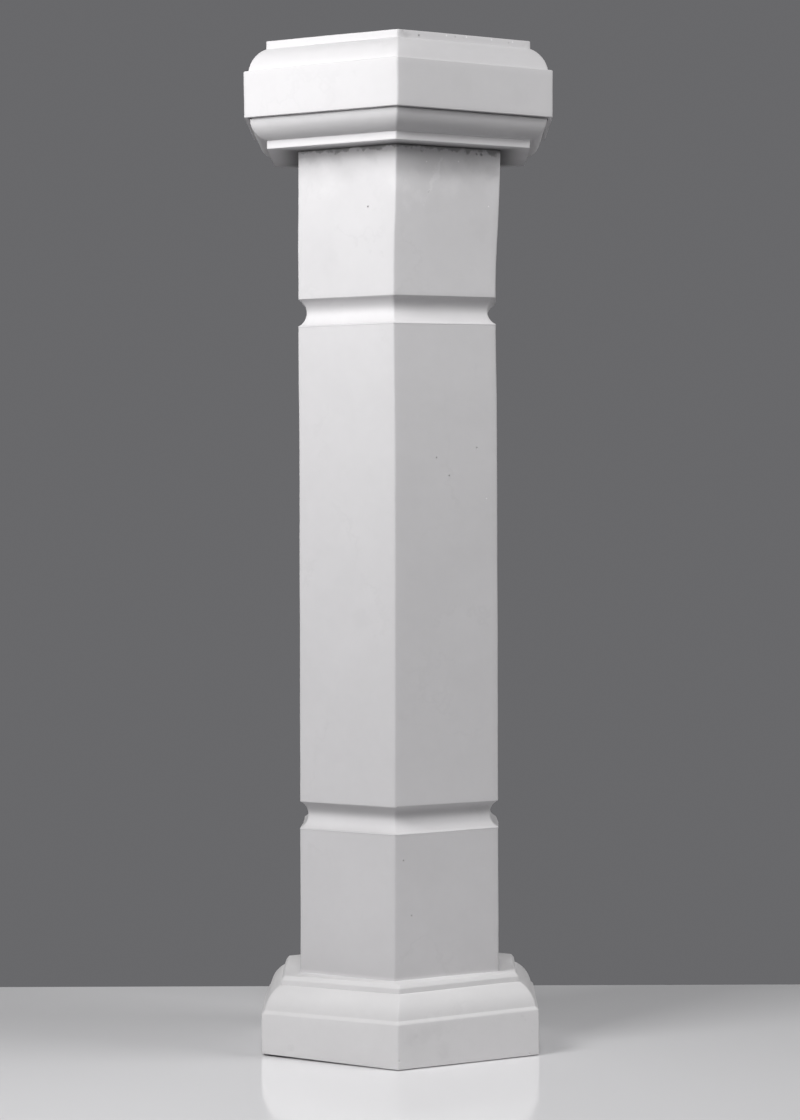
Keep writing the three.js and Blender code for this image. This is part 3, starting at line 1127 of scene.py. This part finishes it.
def capital_marks(place):
    """A smudge and painted highlights at the top, faint stains, and painted shade and light below the
    fascia.
    """
    smudge = stain(place, on_block(capital_block, TOP_ARRIS_STAIN), TOP_ARRIS_STAIN_SIZE)
    marks = smudge * -TOP_ARRIS_STAIN_DARK
    for pixel in CAPITAL_STAINS:
        faint = stain(place, on_block(capital_block, pixel), CAPITAL_STAIN_SIZE)
        marks = marks - faint * CAPITAL_STAIN_DARK
    # Painted highlights along the capital's top rim.
    for pixel in RIM_PAINTED_HIGHLIGHTS:
        marks = marks + dot(place, on_block(capital_block, pixel), RIM_HIGHLIGHT_SIZE) * RIM_HIGHLIGHT_STRENGTH
    # Painted shade under the fascia and on the underside, painted light on the lower fillet.
    shaded = 1 - place.height().ramp(*UNDER_FASCIA_FADE)
    fillet = 1 - place.height().ramp(*FILLET_FADE)
    soffit = 1 - place.height().ramp(*SOFFIT_FADE)
    by_shaft = ring(place, CAPITAL_TURN, SHAFT_HEAD_WIDTH, LOWER_FILLET_WIDTH)
    marks = marks - shaded * UNDER_FASCIA_PAINTED_SHADE + fillet * (UNDER_FASCIA_PAINTED_SHADE + FILLET_PAINTED_LIGHT)
    return marks - soffit * (SOFFIT_PAINTED_SHADE + by_shaft * SOFFIT_PAINTED_SHADE_BY_SHAFT)


# The capital's count is of the painted highlights along its rim.
print("the base has", len(BASE_STAINS), "stains and the capital", len(RIM_PAINTED_HIGHLIGHTS), "specks")

# %% [markdown]
# Each block gets its marble: a colour, a place of its own in the noise, so that no cloud runs on
# from one stone into the next, and its marks. Faces that meet at less than the smooth angle are
# shaded as one. Then the block is tied to the one body of the pack, and it takes the place of its
# plain solid.

# %% Dressing the three blocks
SMOOTH_ANGLE = math.radians(28)
FINISHES = (
    (base_block, "base", (0.73, 0.72, 0.725), (3.1, 0.4, 1.7), base_marks),
    (shaft_block, "shaft", (0.62, 0.61, 0.62), (0, 0, 0), shaft_marks),
    (capital_block, "capital", (0.6, 0.59, 0.6), (1.3, 2.2, 0.6), capital_marks),
)

for block, node, colour, offset, marks_of in FINISHES:
    block.data.materials.clear()
    block.data.materials.append(marble(node + "_white_marble", colour, offset, marks_of))
    select_nothing()
    block.select_set(True)
    bpy.context.view_layer.objects.active = block
    bpy.ops.object.shade_smooth_by_angle(angle=SMOOTH_ANGLE)
    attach(block, "root")
    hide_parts(node)
    node + "_marble"

# %% [markdown]
# The floor is one smooth plane, pale round the column and grey further off. It belongs to the stage
# alone.

# %% Floor
FLOOR_BACK = 0.336
FLOOR_REACH = 4
PALE = (0.92, 0.915, 0.93, 1)
FAR_GREY = (0.3, 0.3, 0.31, 1)
FADE_START = 0.5
FADE_END = 1.0
FLOOR_ROUGHNESS = 0.1

select_nothing()
bpy.ops.mesh.primitive_plane_add(size=1, location=(0, FLOOR_BACK - FLOOR_REACH / 2, 0))
floor = bpy.context.object
floor.name = "floor"
floor.scale = (FLOOR_REACH * 2, FLOOR_REACH, 1)
bpy.ops.object.transform_apply(location=True, rotation=True, scale=True)
floor_paint = bpy.data.materials.new("pale_floor")
floor_paint.use_nodes = True
floor_shader = floor_paint.node_tree.nodes["Principled BSDF"]
floor_coordinates = floor_paint.node_tree.nodes.new("ShaderNodeTexCoord")
floor_place = Pattern(floor_coordinates.outputs["Object"])
fade = floor_place.distance((0, 0, 0)).ramp(FADE_START, FADE_END)
tone = fade.node("ShaderNodeMix", {"data_type": "RGBA"}, {0: fade, 6: PALE, 7: FAR_GREY}, 2)
tone.feed(floor_shader.inputs["Base Color"], tone)
floor_shader.inputs["Roughness"].default_value = FLOOR_ROUGHNESS
floor.data.materials.append(floor_paint)
print("the floor is pale for", FADE_START, "m round the column and grey from", FADE_END, "m on")

# %% [markdown]
# All round, the camera sees a plain grey. As a source of light the same surround counts as almost
# black, so that the soft lights alone model the faces. One of them stands high in front, two at the
# left, two at the right and a wide one behind, for the sides that the photograph doesn't show. Each
# row below says where a light stands round the column in degrees, how far off and how high, how
# wide and tall it is, its power in watts, and the height that it is aimed at.

# %% Light
SEEN_GREY = (0.14, 0.14, 0.146, 1)
DIM_GREY = (0.01, 0.01, 0.0104, 1)
LIGHTS = (
    ("front_top_light", 0, 2.2, 2.8, 0.7, 0.7, 29, 0.5),
    ("key_light", -45, 1.1, 1.35, 0.6, 0.6, 9.3, 0.7),
    ("low_key_light", -45, 1.1, 1.05, 0.6, 0.6, 5.2, 0.7),
    ("right_light", 75, 1.6, 1.4, 0.7, 0.7, 11, 0.6),
    ("right_top_light", 75, 1.6, 2.1, 0.7, 0.7, 3, 0.6),
    ("back_light", 180, 2.2, 1.7, 1.4, 0.9, 6, 0.6),
)

world = bpy.data.worlds.new("studio_grey")
world.use_nodes = True
world_nodes = world.node_tree.nodes
world_nodes["Background"].inputs["Color"].default_value = SEEN_GREY
seen = Pattern(world_nodes["Background"].outputs[0])
dim = seen.node("ShaderNodeBackground", {}, {"Color": DIM_GREY})
is_diffuse = seen.node("ShaderNodeLightPath", {}, {}, "Is Diffuse Ray")
both = seen.node("ShaderNodeMixShader", {}, {0: is_diffuse, 1: seen, 2: dim})
both.feed(world_nodes["World Output"].inputs["Surface"], both)
scene.world = world


def soft_light(name, azimuth, distance, height, width, tall, power, aim_height):
    """A rectangular soft light that stands round the column and faces its axis."""
    data = bpy.data.lights.new(name, "AREA")
    data.shape = "RECTANGLE"
    data.size = width
    data.size_y = tall
    data.energy = power
    light = bpy.data.objects.new(name, data)
    angle = math.radians(azimuth)
    light.location = (math.sin(angle) * distance, -math.cos(angle) * distance, height)
    aim = Vector((0, 0, aim_height)) - light.location
    light.rotation_euler = aim.to_track_quat("-Z", "Y").to_euler()
    light.visible_camera = False
    scene.collection.objects.link(light)
    return light


for settings in LIGHTS:
    light = soft_light(*settings)
    print(light.name, light.data.energy, "watts")
